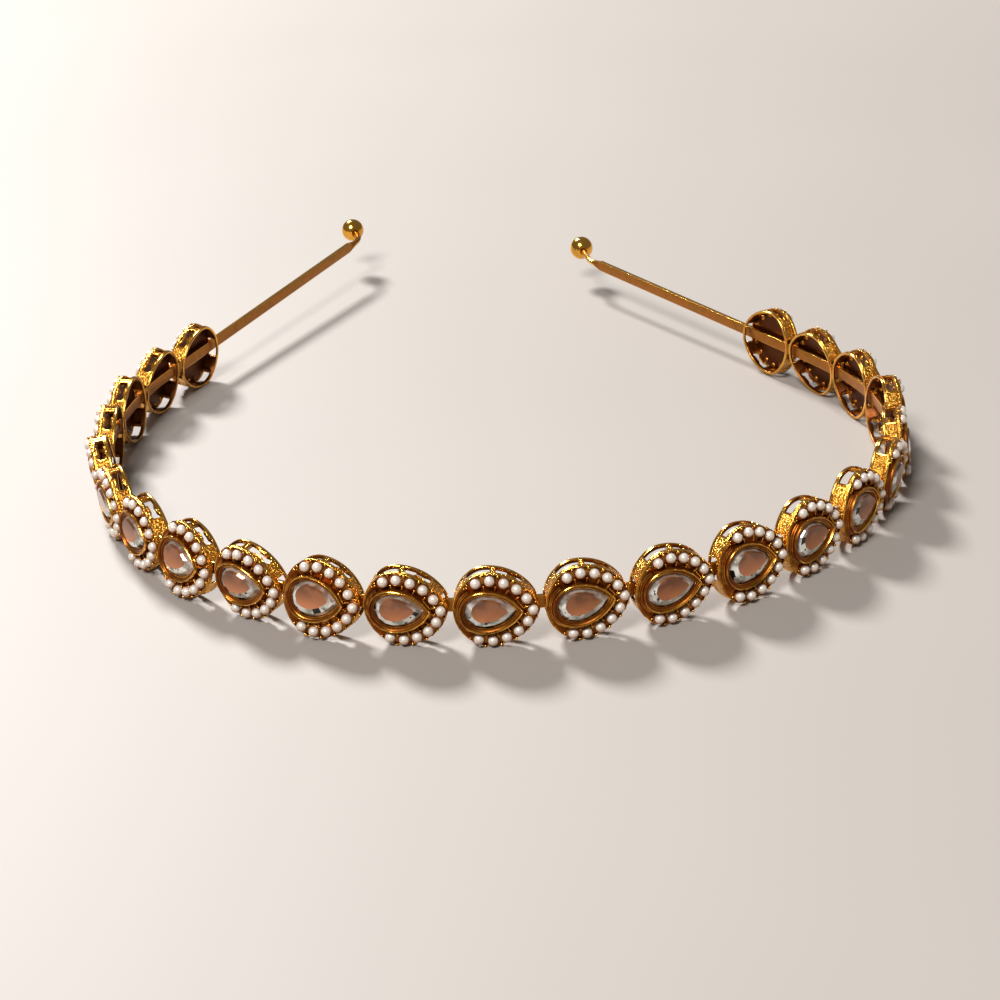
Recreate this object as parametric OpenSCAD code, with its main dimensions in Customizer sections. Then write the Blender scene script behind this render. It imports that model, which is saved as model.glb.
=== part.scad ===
// Hair band: 23 pear-shaped settings threaded on a flat spring strip that ends in two balls.
// It lies flat: +Z is up, -Y is the front, +X the right seen from the front.
// The origin is the middle of the ground the band covers.
// Each setting is drawn in its own frame: x along the band towards its tip, y up, z out of its face,
// with the tops of the prongs between the pearls at z = 0 and the widest point of the pear at x = 0.

/* [Band] */
// Length of strip from the middle of one setting to the next
pitch = 12.2; // [12.2:0.05:13]
// Where the middle of the middle setting lies, left or right of the origin
middle_x = -1.1; // [-3:0.1:3]
// Where the middle of the middle setting lies, towards the front
middle_y = -77.8; // [-80:0.1:-70]
// Turn of the middle setting about the vertical, in degrees
middle_turn = -2; // [-5:5]

/* [Strip] */
// Height of the spring strip
strip_h = 1.9; // [1.6:0.1:2.4]
// Thickness of the spring strip
strip_t = 0.8; // [0.6:0.05:0.85]
// Length of the taper between strip and wire
taper_l = 2.5; // [2:0.5:5]
// Diameter of the wire at each end
wire_d = 1.1; // [0.8:0.1:1.4]
// Radius of the bend that turns each wire outwards
wire_bend_r = 6; // [4:20]
// Diameter of the end balls
ball_d = 4.4; // [3.6:0.1:5]

/* [Setting] */
// Half height of the row of pearls
row_half = 4.75; // [4.6:0.05:5]
// From the widest point to the tip of the row of pearls
row_tip = 6.25; // [6:0.05:6.4]
// Depth from the tops of the prongs to the back
depth = 3.1; // [3.1:0.1:4]
// Thickness of the gallery's wall
wall = 0.4; // [0.3:0.05:0.6]
// Length of the pierced window beside the round end
round_window = 3.2; // [2:0.1:3.4]
// Length of the pierced window beside the tip
tip_window = 3.5; // [2.6:0.1:3.6]
// Width of the windows, along the depth
window_w = 1.4; // [0.8:0.1:1.4]

/* [Pearls] */
// Diameter of a pearl
pearl_d = 1.5; // [1.2:0.05:1.5]
// Distance between pearls along their row
pearl_step = 1.97; // [1.85:0.01:2]

/* [Stone] */
// Half height of the stone
stone_half = 2.62; // [2.4:0.02:2.7]
// From the stone's widest point to its tip
stone_tip = 4.5; // [4.2:0.05:4.6]
// Height of the stone's table above the prongs
table_z = 0.8; // [0.5:0.05:1]
// Height of the bezel above the prongs
bezel_z = 0.55; // [0.4:0.05:0.7]

/* [Hidden] */
setting_count = 23;
middle = 12;

// Plan of the strip on each side of the middle setting, before the straight arms
RADIUS = 0;
SWEEP = 1;
right_plan = [[65, 54], [47, 64], [90, 7]];
left_plan = [[63.5, 75], [64, 41]];

// Arms, left then right: length of flat strip, rise in degrees, outward turn of the wire in degrees,
// and straight wire between that turn and the ball
LENGTH = 0;
RISE = 1;
FLARE = 2;
WIRE = 3;
arms = [[59, 2, 46, 1], [54, 1, 24, 4]];

// How each setting sits on the strip, from the left arm to the right arm: lean of its top towards
// the inside and lift of its tip, in degrees, how far it has slid along the strip, and how far it is
// pushed inwards across it
LEAN = 0;
LIFT = 1;
SLIDE = 2;
PUSH = 3;
sits = [
    [6, -2, 0, 0], [8, 0, 0, 0], [2, -1, 0, 0], [5, 0, 0, 0], [-8, 0, 0, 0], [-1, 0, 0, 0],
    [3, 1, 0, 0], [10, -3, 0, -0.1], [-3, 0, 0, 0.2], [10, -4, 0, -0.1], [-3, 2, -0.1, -0.1],
    [-3, 0, -0.1, -0.1], [-2, 4, 0, -0.1], [-2, 1, 0, -0.2], [6, -2, 0.1, 0], [3, 0, -0.2, 0.2],
    [0, -1, -0.4, 0.1], [-6, 1, -0.8, 0], [6, 0, -1.2, 0], [-5, -1, -1.5, 0], [1, 1, -2, 0],
    [7, 0, -2.5, 0], [-4, 1, -2.8, 0],
];

gap = 0.1;
reach = 20;

// Heights in a setting's frame
rim_z = -0.35;
rim_low = -0.95;
floor_top = -0.66;
floor_low = -1.1;
root_z = floor_top - 0.1;
back_z = -depth;
back_rim_z = back_z + 0.35;
window_z = -1.8;
strip_z = -1.85;
slot_top = -1.2;
slot_low = -2.8;

// Outlines, as offsets from the outline of the row of pearls
rim_out = 0.92;
rim_in = 0.78;
wall_out = 0.8;
back_rim_out = 0.88;
back_tip = 6.75;
side_centre = 2;
blunt_centre = 1.5;
centre_gap = 2.5;
row_blunt = row_half - side_centre + centre_gap - blunt_centre;
row_mid = (row_tip - row_blunt) / 2;

// Bezel and the seat of the stone under its lip
bezel_x = -0.5;
bezel_half = 3.37;
bezel_tip = 5.45;
bezel_ridge = 0.3;
lip_z = 0.17;
lip_over = 0.05;
seat_top = 0.02;
seat_low = -0.53;

// Second ridge round the blunt side of the bezel
step_in = 0.25;
step_out = 0.45;
step_z = -0.2;
step_end = -1.8;

// Heights and insets of the stone's girdle and crown
girdle_low = seat_low + gap;
girdle_top = -0.25;
crown_z = table_z * 0.6;
crown_inset = 0.45;
table_inset = 0.95;

// Pearls with their seats, the prongs between them and the grains on the rim
pearl_z = -0.15;
pearl_seat_r = 0.68;
pearl_seat_low = -1;
pearls_a_side = 5;
pearls_last_side = 2;
prong_w = 0.3;
prong_from = -1.45;
prong_to = -0.65;
grain_r = 0.2;
grain_out = 0.8;
grain_z = 0;

// Post between the two windows of a flank, and the slots for the strip
post_x = 1.05;
post_w = 0.8;
slot_h = 3.5;

// Joints of the strip, and the bores of the balls
tie_t = 0.4;
stub = 2;
cone_l = 1.5;
bore_d = wire_d + 2 * gap;
bore_l = 2.6;

// Height of the middle of the strip above the ground
strip_up = 5.9;

// Height of a setting's strip line when it stands on the ground, on its grains or on its back rim
function stand(s) =
    let(low = row_half + row_mid * sin(s[LIFT]), grain_at = s[LEAN] < 0 ? grain_z : root_z)
    max((low + grain_out + grain_r) * cos(s[LEAN]) - (grain_at - strip_z) * sin(s[LEAN]),
        (low + back_rim_out) * cos(s[LEAN]) + (depth + strip_z) * sin(s[LEAN]));

two_digits = function(i) i < 10 ? str("0", i) : str(i);

// Centre height of the flank arcs of a pear that is half high and ends at tip
function flank_drop(half, tip) = (tip * tip - half * half) / (2 * half);

// A place in plan is [x, y, heading]; forward along an arc that turns left, or along a straight line
function along_arc(p, r, turn) = [
    p.x + r * (sin(p.z + turn) - sin(p.z)),
    p.y - r * (cos(p.z + turn) - cos(p.z)),
    p.z + turn
];
function straight(p, l) = [p.x + l * cos(p.z), p.y + l * sin(p.z), p.z];
function arc_length(row) = row[RADIUS] * row[SWEEP] * PI / 180;

// The place s further along a plan of arcs, and straight on past its end
function walk(p, plan, s, k = 0) =
    k == len(plan) ? straight(p, s) :
    s <= arc_length(plan[k]) ? along_arc(p, plan[k][RADIUS], s / plan[k][RADIUS] * 180 / PI) :
    walk(along_arc(p, plan[k][RADIUS], plan[k][SWEEP]), plan, s - arc_length(plan[k]), k + 1);

// The left side is walked as the mirror image of a right side
right_start = [middle_x, middle_y, middle_turn];
left_start = [-middle_x, middle_y, -middle_turn];
function place(s) =
    s >= 0 ? walk(right_start, right_plan, s) :
    let(p = walk(left_start, left_plan, -s)) [-p.x, p.y, -p.z];

// Along the row of pearls at distance s from its tip: the turn of the outward normal, and the point
row_drop = flank_drop(row_half, row_tip);
row_flank_r = row_half + row_drop;
tip_angle = asin(row_drop / row_flank_r);
row_flank_l = row_flank_r * (90 - tip_angle) * PI / 180;
side_r = row_half - side_centre;
function row_normal(s) =
    s < row_flank_l ? tip_angle + s / row_flank_r * 180 / PI : 90 + (s - row_flank_l) / side_r * 180 / PI;
function row_point(s, off) =
    let(a = row_normal(s))
    s < row_flank_l ?
        [(row_flank_r + off) * cos(a), (row_flank_r + off) * sin(a) - row_drop] :
        [(side_r + off) * cos(a), (side_r + off) * sin(a) + side_centre];

// Half of a pear, from its widest point to its tip
module tip_half(half, tip, off = 0) {
    drop = flank_drop(half, tip);
    intersection() {
        translate([0, -drop]) circle(r = half + drop + off, $fn = 128);
        translate([0, drop]) circle(r = half + drop + off, $fn = 128);
        translate([0, -reach]) square([reach, 2 * reach]);
    }
}

// A pear with a half-round end
module pear(half, tip, off = 0) {
    tip_half(half, tip, off);
    intersection() {
        circle(r = half + off, $fn = 96);
        translate([-reach, -reach]) square([reach, 2 * reach]);
    }
}

// The pear of the row of pearls, whose round end is flattened by a wider arc; the centres of the side
// arc and of that wider arc are centre_gap apart
module row_pear(off = 0) {
    far = [-7 * blunt_centre, 8 * side_centre];
    tip_half(row_half, row_tip, off);
    for (side = [0, 1]) mirror([0, side]) intersection() {
        translate([0, side_centre]) circle(r = side_r + off, $fn = 96);
        polygon([[0, side_centre], [0, reach], [far.x, reach], far]);
    }
    intersection() {
        translate([blunt_centre, 0]) circle(r = blunt_centre + row_blunt + off, $fn = 128);
        polygon([
            [0, side_centre], far, [-reach, far.y],
            [-reach, -far.y], [far.x, -far.y], [0, -side_centre]
        ]);
    }
}

module bezel_pear(off = 0) {
    translate([bezel_x, 0]) pear(bezel_half, bezel_tip, off);
}

module stone_pear(off = 0) {
    translate([bezel_x, 0]) pear(stone_half, stone_tip, off);
}

// Children cut off flat where the tip passes x
module cut_tip(x) {
    intersection() {
        children();
        translate([-reach, -reach]) square([reach + x, 2 * reach]);
    }
}

// Extrude between two heights
module layer(low, high) {
    translate([0, 0, low]) linear_extrude(high - low) children();
}

// Children at distance s from the tip along the upper row, with x turned outwards
module on_row(s) {
    p = row_point(s, 0);
    translate([p.x, p.y]) rotate([0, 0, row_normal(s)]) children();
}

// The pearl at the tip, those of the upper side, and so many of the lower side
module at_pearls(lower = pearls_a_side) {
    translate([row_tip, 0]) children();
    for (k = [1:pearls_a_side]) on_row(k * pearl_step) children();
    for (k = [1:lower]) mirror([0, 1]) on_row(k * pearl_step) children();
}

module between_pearls() {
    for (side = [0, 1], k = [1:pearls_a_side]) mirror([0, side]) on_row((k - 0.5) * pearl_step) children();
}

// Low ridge that runs round the blunt side between bezel and rim
module blunt_step() {
    layer(root_z, step_z) intersection() {
        difference() {
            bezel_pear(step_out);
            bezel_pear(step_in);
        }
        translate([-reach, -reach]) square([reach + step_end, 2 * reach]);
    }
}

// Window beside the tip: square, then a waist, then two lobes
module lobed_window() {
    lobe_r = window_w * 0.32;
    waist_w = window_w * 0.6;
    lobe_x = post_x + post_w / 2 + tip_window - lobe_r;
    translate([post_x + post_w / 2, window_z]) {
        translate([0, -window_w / 2]) square([tip_window * 0.42, window_w]);
        translate([0, -waist_w / 2]) square([tip_window - lobe_r, waist_w]);
    }
    for (side = [-1, 1])
        translate([lobe_x, window_z + side * (window_w / 2 - lobe_r)]) circle(r = lobe_r, $fn = 32);
}

module windows() {
    rotate([90, 0, 0]) linear_extrude(reach, center = true) {
        translate([post_x - post_w / 2 - round_window, window_z - window_w / 2])
            square([round_window, window_w]);
        lobed_window();
    }
}

// Rim, gallery and bezel, before anything is cut
module solid_form() {
    layer(rim_low, rim_z) row_pear(rim_out);
    layer(back_z, floor_top) cut_tip(back_tip) row_pear(wall_out);
    layer(back_z, back_rim_z) cut_tip(back_tip) row_pear(back_rim_out);
    layer(root_z, bezel_z) bezel_pear();
}

// Channel of the pearls, seat of the stone, hollow back, windows and slots
module hollows() {
    layer(floor_top, bezel_z + 1) difference() {
        row_pear(rim_in);
        bezel_pear();
    }
    at_pearls() layer(pearl_seat_low, 0) circle(r = pearl_seat_r, $fn = 32);
    layer(lip_z, bezel_z + 1) bezel_pear(-bezel_ridge);
    layer(seat_low, bezel_z + 1) stone_pear(-lip_over);
    layer(seat_low, seat_top) stone_pear(gap);
    layer(back_z - 1, floor_low) cut_tip(back_tip - wall) row_pear(wall_out - wall);
    windows();
    translate([-reach / 2, -slot_h / 2, slot_low]) cube([reach, slot_h, slot_top - slot_low]);
}

// The metal of one setting
module setting_body() {
    difference() {
        solid_form();
        hollows();
    }
    blunt_step();
    between_pearls() {
        translate([prong_from, -prong_w / 2, root_z]) cube([prong_to - prong_from, prong_w, -root_z]);
        translate([grain_out, 0]) layer(root_z, grain_z) circle(r = grain_r, $fn = 24);
    }
}

// Carry a setting's frame to its place on the strip
module on_strip(i) {
    s = sits[i - 1];
    p = place((i - middle) * pitch + s[SLIDE]);
    translate([p.x, p.y, stand(s)]) rotate([0, 0, p.z]) translate([0, s[PUSH], 0])
        rotate([-s[LEAN], 0, 0]) rotate([90, 0, 0]) rotate([0, 0, s[LIFT]])
            translate([-row_mid, 0, -strip_z]) children();
}

module setting(i) {
    color("goldenrod") on_strip(i) setting_body();
}

// Corners of the stone's outline after an inset: the tip, then round by the angle of the outline's normal
function stone_ring(inset, z) =
    let(drop = flank_drop(stone_half, stone_tip),
        r = stone_half - inset,
        flank_r = r + drop,
        tip = sqrt(flank_r * flank_r - drop * drop),
        a0 = asin(drop / flank_r),
        flank = [for (k = [1:4])
            let(a = a0 + (90 - a0) * k / 4) [flank_r * cos(a), flank_r * sin(a) - drop]],
        round_end = [for (k = [1:5]) [r * cos(90 + 30 * k), r * sin(90 + 30 * k)]],
        ring = concat([[tip, 0]], flank, round_end, [for (k = [3:-1:0]) [flank[k].x, -flank[k].y]]))
    [for (p = ring) [p.x + bezel_x, p.y, z]];

// Closed solid through rings of equally many points
module lofted(rings) {
    n = len(rings[0]);
    last = len(rings) - 1;
    polyhedron(
        points = [for (ring = rings, p = ring) p],
        faces = concat(
            [[for (k = [0:n - 1]) k]],
            [for (j = [0:last - 1], k = [0:n - 1])
                [j * n + k, (j + 1) * n + k, (j + 1) * n + (k + 1) % n, j * n + (k + 1) % n]],
            [[for (k = [n - 1:-1:0]) last * n + k]]
        )
    );
}

// Flat-backed stone: girdle, two rows of crown facets and a table
module stone(i) {
    color("lavender") on_strip(i) lofted([
        stone_ring(0, girdle_low),
        stone_ring(0, girdle_top),
        stone_ring(crown_inset, crown_z),
        stone_ring(table_inset, table_z)
    ]);
}

// The pearls of the settings from first to last; the end setting of the right arm keeps fewer below
module pearls(first, last) {
    color("ivory") for (i = [first:last]) on_strip(i)
        at_pearls(i == setting_count ? pearls_last_side : pearls_a_side)
            translate([0, 0, pearl_z]) sphere(d = pearl_d, $fn = 32);
}

// Length of the first n arcs of a plan
function plan_length(plan, n) = n == 0 ? 0 : plan_length(plan, n - 1) + arc_length(plan[n - 1]);

// Children at distance s along a side, with x along the strip
module along(start, plan, s) {
    p = walk(start, plan, s);
    translate([p.x, p.y, strip_up]) rotate([0, 0, p.z]) children();
}

module strip_box(from, to) {
    translate([from, -strip_t / 2, -strip_h / 2]) cube([to - from, strip_t, strip_h]);
}

// Core that ties two pieces together where they meet end to end
module tie() {
    cube(tie_t, center = true);
}

// One side of the strip: its arcs, and the level stub in which the arm starts to rise
module strip_side(start, plan) {
    for (k = [0:len(plan) - 1]) along(start, plan, plan_length(plan, k)) {
        translate([0, plan[k][RADIUS], 0]) rotate([0, 0, -90])
            rotate_extrude(angle = plan[k][SWEEP], $fn = 360)
                translate([plan[k][RADIUS] - strip_t / 2, -strip_h / 2]) square([strip_t, strip_h]);
        tie();
    }
    along(start, plan, plan_length(plan, len(plan))) {
        strip_box(0, stub);
        tie();
    }
}

// Children in the frame of an arm, which rises from the middle of its stub
module at_arm(start, plan, arm) {
    along(start, plan, plan_length(plan, len(plan)))
        translate([stub / 2, 0, 0]) rotate([0, -arm[RISE], 0]) children();
}

// Children at the end of the wire's bend, with x along the wire
module at_wire_end(arm) {
    translate([arm[LENGTH] + taper_l, -wire_bend_r, 0]) rotate([0, 0, -arm[FLARE]])
        translate([0, wire_bend_r, 0]) children();
}

// Straight arm, taper, and the wire that turns outwards and goes into the ball
module arm_metal(arm) {
    bar_l = arm[LENGTH];
    wire_x = bar_l + taper_l;
    strip_box(0, bar_l);
    rotate([90, 0, 0]) linear_extrude(strip_t, center = true) polygon([
        [bar_l, -strip_h / 2], [wire_x, -wire_d / 2], [wire_x, wire_d / 2], [bar_l, strip_h / 2]
    ]);
    translate([wire_x - cone_l, 0, 0]) rotate([0, 90, 0])
        cylinder(d1 = strip_t - gap, d2 = wire_d, h = cone_l, $fn = 32);
    translate([wire_x, -wire_bend_r, 0]) rotate([0, 0, 90 - arm[FLARE]])
        rotate_extrude(angle = arm[FLARE], $fn = 180)
            translate([wire_bend_r, 0]) circle(d = wire_d, $fn = 32);
    at_wire_end(arm) rotate([0, 90, 0]) cylinder(d = wire_d, h = arm[WIRE] + bore_l, $fn = 32);
    translate([bar_l, 0, 0]) tie();
    translate([wire_x, 0, 0]) tie();
    at_wire_end(arm) tie();
}

module spring_strip() {
    color("gold") {
        strip_side(right_start, right_plan);
        mirror([1, 0, 0]) strip_side(left_start, left_plan);
        at_arm(right_start, right_plan, arms[1]) arm_metal(arms[1]);
        mirror([1, 0, 0]) at_arm(left_start, left_plan, arms[0]) arm_metal(arms[0]);
    }
}

// End ball with the blind bore that takes the wire
module arm_ball(start, plan, arm) {
    color("gold") at_arm(start, plan, arm) at_wire_end(arm) translate([arm[WIRE], 0, 0]) difference() {
        translate([ball_d / 2, 0, 0]) sphere(d = ball_d, $fn = 64);
        translate([-gap, 0, 0]) rotate([0, 90, 0]) cylinder(d = bore_d, h = bore_l + 2 * gap, $fn = 32);
    }
}

for (i = [1:setting_count]) {
    setting(i);
    stone(i);
}
pearls(1, middle - 1);  // pearls_left
pearls(middle, setting_count);  // pearls_right
spring_strip();
mirror([1, 0, 0]) arm_ball(left_start, left_plan, arms[0]);  // ball_left
arm_ball(right_start, right_plan, arms[1]);  // ball_right
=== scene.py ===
import math
import random

import bmesh
import bpy
from bpy.props import FloatProperty, FloatVectorProperty, PointerProperty
from bpy.types import Operator, Panel, PropertyGroup
from mathutils import Matrix, Vector


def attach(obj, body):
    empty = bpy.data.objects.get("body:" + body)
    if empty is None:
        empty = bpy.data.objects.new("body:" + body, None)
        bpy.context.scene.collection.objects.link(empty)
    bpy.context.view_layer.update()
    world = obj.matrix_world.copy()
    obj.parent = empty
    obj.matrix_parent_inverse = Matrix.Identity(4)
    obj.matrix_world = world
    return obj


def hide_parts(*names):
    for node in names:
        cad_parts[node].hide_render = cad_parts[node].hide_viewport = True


bl_info = {
    "name": "Pearl and Stone Hair Band",
    "version": (1, 0, 0),
    "blender": (4, 5, 0),
    "location": "View3D > Sidebar > Hair Band",
    "description": "Dresses a hair band of pear-shaped gold settings with its finish, stones and pearls",
    "category": "Object",
}

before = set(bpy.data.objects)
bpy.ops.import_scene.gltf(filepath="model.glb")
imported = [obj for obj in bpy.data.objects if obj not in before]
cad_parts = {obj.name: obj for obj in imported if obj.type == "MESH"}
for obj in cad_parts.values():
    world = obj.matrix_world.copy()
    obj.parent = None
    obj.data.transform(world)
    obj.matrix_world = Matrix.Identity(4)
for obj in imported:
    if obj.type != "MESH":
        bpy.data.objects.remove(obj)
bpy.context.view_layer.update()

# Sizes are in millimetres and angles in degrees, and every finished mesh is scaled to metres
MM = 0.001
NEAR = 0.0005

# Band: how many settings, their spacing and where the middle one stands
COUNT = 23
MIDDLE = 12
PITCH = 12.2
MIDDLE_SPOT = (-1.1, -77.8, -2)

# Plan of the strip on each side of the middle setting: radius and sweep of each arc
RIGHT_PLAN = ((65, 54), (47, 64), (90, 7))
LEFT_PLAN = ((63.5, 75), (64, 41))

# Arms: length of flat strip, rise, outward turn of the wire, and straight wire before the ball
LEFT_ARM = (59, 2, 46, 1)
RIGHT_ARM = (54, 1, 24, 4)

# How each setting sits: lean of its top inwards, lift of its tip, slide along and push across
SITS = (
    (6, -2, 0, 0), (8, 0, 0, 0), (2, -1, 0, 0), (5, 0, 0, 0), (-8, 0, 0, 0), (-1, 0, 0, 0),
    (3, 1, 0, 0), (10, -3, 0, -0.1), (-3, 0, 0, 0.2), (10, -4, 0, -0.1), (-3, 2, -0.1, -0.1),
    (-3, 0, -0.1, -0.1), (-2, 4, 0, -0.1), (-2, 1, 0, -0.2), (6, -2, 0.1, 0), (3, 0, -0.2, 0.2),
    (0, -1, -0.4, 0.1), (-6, 1, -0.8, 0), (6, 0, -1.2, 0), (-5, -1, -1.5, 0), (1, 1, -2, 0),
    (7, 0, -2.5, 0), (-4, 1, -2.8, 0),
)

# Strip, wire and balls
STRIP_T = 0.8
STRIP_H = 1.9
STRIP_UP = 5.9
STRIP_Z = -1.85
STRIP_ROUND = 0.16
TAPER_L = 2.5
STUB = 2
WIRE_D = 1.1
WIRE_BEND_R = 6
BORE_R = 0.65

# Pear of the row of pearls: half height, tip, and the arcs of its flattened round end
ROW_HALF = 4.75
ROW_TIP = 6.25
SIDE_CENTRE = 2
SIDE_R = ROW_HALF - SIDE_CENTRE
BLUNT_CENTRE = 1.5
BLUNT_R = SIDE_R + 2.5
BLUNT_FROM = math.degrees(math.atan2(SIDE_CENTRE, -BLUNT_CENTRE))
ROW_MID = (ROW_TIP + BLUNT_CENTRE - BLUNT_R) / 2

# Pear of the bezel and of the stone in it
BEZEL_X = -0.5
BEZEL_HALF = 3.37
BEZEL_TIP = 5.45
STONE_HALF = 2.62
STONE_TIP = 4.5
GIRDLE_LOW = -0.43
GIRDLE_TOP = -0.25
CROWN_INSET = 0.45
CROWN_RISE = 0.73
TABLE_INSET = 0.5
TABLE_RISE = 0.32

# Heights and offsets of the setting that its small pieces share
DEPTH = 3.1
RIM_OUT = 0.92
RIM_IN = 0.78
RIM_TOP = -0.35
RIM_LOW = -0.95
WALL_OUT = 0.8
WALL_IN = 0.4
BACK_TIP = 6.75
BACK_OUT = 0.88
FLOOR_TOP = -0.66
FLOOR_LOW = -1.1
GRAIN_OUT = 0.8
GRAIN_R = 0.2
GRAIN_Z = 0
ROOT_Z = -0.76

# Windows in the gallery and the slots for the strip
POST_FROM = 0.65
POST_TO = 1.45
ROUND_WINDOW = 3.2
TIP_WINDOW = 3.5
WINDOW_W = 1.4
WINDOW_Z = -1.8
SLOT_H = 3.5
SLOT_LOW = -2.8
SLOT_TOP = -1.2

# Pearls
PEARL_STEP = 1.97
PEARL_Z = -0.15
SEAT_R = 0.68
SEAT_LOW = -1
PEARLS_A_SIDE = 5
PEARLS_LAST_SIDE = 2

# Raised border of a window: width, height over the wall, depth in it and bevel
FRAME_W = 0.19
FRAME_PROUD = 0.13
FRAME_SUNK = 0.08
FRAME_BEVEL = 0.04

# Claws: length, width and height of the bar between two pearls, of the tip's bar and of its rail
CLAW_SIZE = (0.6, 0.16, 0.64)
TIP_CLAW_SIZE = (0.9, 0.15, 0.5)
RAIL_SIZE = (0.13, 1.5, 0.5)
CLAW_BEVEL = 0.05
CLAW_BALL_R = 0.16

# Small round parts round the pearls: cups, studs on the back, and lines beside the tip
CUP_R = 0.86
CUP_THICKNESS = 0.13
STUD_R = 0.45
LINE_R = 0.04
LINE_HEIGHTS = (-0.5, -0.65, -0.8)

# How much gold shows over the lacquer, from 0 to 1; on the strip's faces it stands for a painted
# reflection of dark surroundings, and the rim's lower half keeps only a share of its gold as painted
# shade
CLAW_GOLD = 0.45
CUP_GOLD = 0.25
STUD_GOLD = 0.4
SADDLE_GOLD = 0.25
STRIP_FACE_REFLECTION_GOLD = 0.34
LOWER_RIM_SHADE_GOLD = 0.6

# Textures: how fine each noise is, how deep the granulation, and the share of black facets
BLOTCH_SCALE = 900
STIPPLE_SCALE = 3800
TONE_SCALE = 300
STREAK_SCALE = 420
FLECK_SCALE = 1500
SHADE_SCALE = 650
CLOUD_SCALE = 8
GRAIN_DEPTH = 0.0003
BLACK_SHARE = 0.08
FLECK_COLOUR = (0.012, 0.011, 0.01, 1)
EDGE_SHADE = (0.42, 0.41, 0.34, 1)

# Stage, in metres: where the soft lights stand, how wide they are, and half the floor's side
KEY_AT = (-0.5, 1, 0.95)
KEY_SIZE = 0.32
FILL_AT = (-0.45, -0.85, 1.25)
FILL_SIZE = 0.55
FLOOR_HALF = 2
SKY_COLOUR = (1, 0.97, 0.93, 1)

# Camera: where it stands, how far it looks down, its roll and its lens
CAMERA_AT = (0.15, -333.56, 145.0)
CAMERA_DOWN = 0.4498
CAMERA_ROLL = -0.0611
CAMERA_LENS = 76.93
CAMERA_SENSOR = 36


def flank_drop(half, tip):
    """How far below the axis the centre of a pear's upper flank arc lies."""
    return (tip * tip - half * half) / (2 * half)


ROW_DROP = flank_drop(ROW_HALF, ROW_TIP)
ROW_FLANK_R = ROW_HALF + ROW_DROP
ROW_TIP_ANGLE = math.asin(ROW_DROP / ROW_FLANK_R)
ROW_FLANK_L = ROW_FLANK_R * (math.pi / 2 - ROW_TIP_ANGLE)
BEZEL_DROP = flank_drop(BEZEL_HALF, BEZEL_TIP)


class BandSizes(PropertyGroup):
    """Sizes that may be changed without moving anything."""

    pearl_diameter: FloatProperty(
        name="Pearl", description="Diameter of a pearl", default=0.0015, min=0.001, unit="LENGTH"
    )
    ball_diameter: FloatProperty(
        name="End ball", description="Diameter of the balls at the ends of the arms",
        default=0.0044, min=0.002, unit="LENGTH",
    )


def colour_property(name, description, default):
    return FloatVectorProperty(
        name=name, description=description, default=default, subtype="COLOR", min=0, max=1, size=3
    )


class BandColours(PropertyGroup):
    """Colours of the finishes."""

    gold: colour_property("Gold", "Worn edges and polished metal", (0.97, 0.49, 0.075))
    lacquer: colour_property("Lacquer", "Brown lacquer in the recesses", (0.2, 0.05, 0.004))
    pearl: colour_property("Pearl", "Pearl body", (0.88, 0.79, 0.69))
    # Foil colour: the foil's own tint together with a painted reflection of brown surroundings
    foil_and_reflection: colour_property("Foil", "Foil seen through the table of a stone", (0.34, 0.12, 0.045))
    silver: colour_property("Silver", "Foil seen through the edge facets", (0.95, 0.93, 0.87))
    floor: colour_property("Floor", "Floor under the band", (0.34, 0.305, 0.275))


class BandLight(PropertyGroup):
    """Strength of the studio light."""

    key: FloatProperty(name="Key", description="Soft light from behind", default=35, unit="POWER")
    fill: FloatProperty(name="Fill", description="Soft light from the front", default=24, unit="POWER")
    sky: FloatProperty(name="Sky", description="Even light from all round", default=0.18)


class BandSettings(PropertyGroup):
    """All settings of the hair band."""

    sizes: PointerProperty(type=BandSizes)
    colours: PointerProperty(type=BandColours)
    light: PointerProperty(type=BandLight)


def settings():
    return bpy.context.scene.hair_band


# Where things are along the band


def along_arc(spot, radius, sweep_angle):
    """The spot reached from a spot (x, y, heading) along an arc that turns left."""
    x, y, heading = spot
    before = math.radians(heading)
    after = math.radians(heading + sweep_angle)
    return (
        x + radius * (math.sin(after) - math.sin(before)),
        y - radius * (math.cos(after) - math.cos(before)),
        heading + sweep_angle,
    )


def walk(spot, plan, distance):
    """The spot at a distance along a plan of arcs, and straight on past its end."""
    for radius, sweep in plan:
        length = radius * math.radians(sweep)
        if distance <= length:
            return along_arc(spot, radius, math.degrees(distance / radius))
        spot = along_arc(spot, radius, sweep)
        distance -= length
    x, y, heading = spot
    ahead = math.radians(heading)
    return x + distance * math.cos(ahead), y + distance * math.sin(ahead), heading


def mirrored_spot(spot):
    x, y, heading = spot
    return -x, y, -heading


def place(distance):
    """The spot on the strip at a distance from the middle setting, to the right if positive."""
    if distance >= 0:
        return walk(MIDDLE_SPOT, RIGHT_PLAN, distance)
    return mirrored_spot(walk(mirrored_spot(MIDDLE_SPOT), LEFT_PLAN, -distance))


def stand(lean, lift):
    """Height of a setting's strip line when it stands on its grains or on its back rim."""
    low = ROW_HALF + ROW_MID * math.sin(math.radians(lift))
    grain_at = GRAIN_Z if lean < 0 else ROOT_Z
    sine = math.sin(math.radians(lean))
    cosine = math.cos(math.radians(lean))
    on_grain = (low + GRAIN_OUT + GRAIN_R) * cosine - (grain_at - STRIP_Z) * sine
    on_rim = (low + BACK_OUT) * cosine + (DEPTH + STRIP_Z) * sine
    return max(on_grain, on_rim)


def turn(degrees, axis):
    return Matrix.Rotation(math.radians(degrees), 4, axis)


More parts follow.
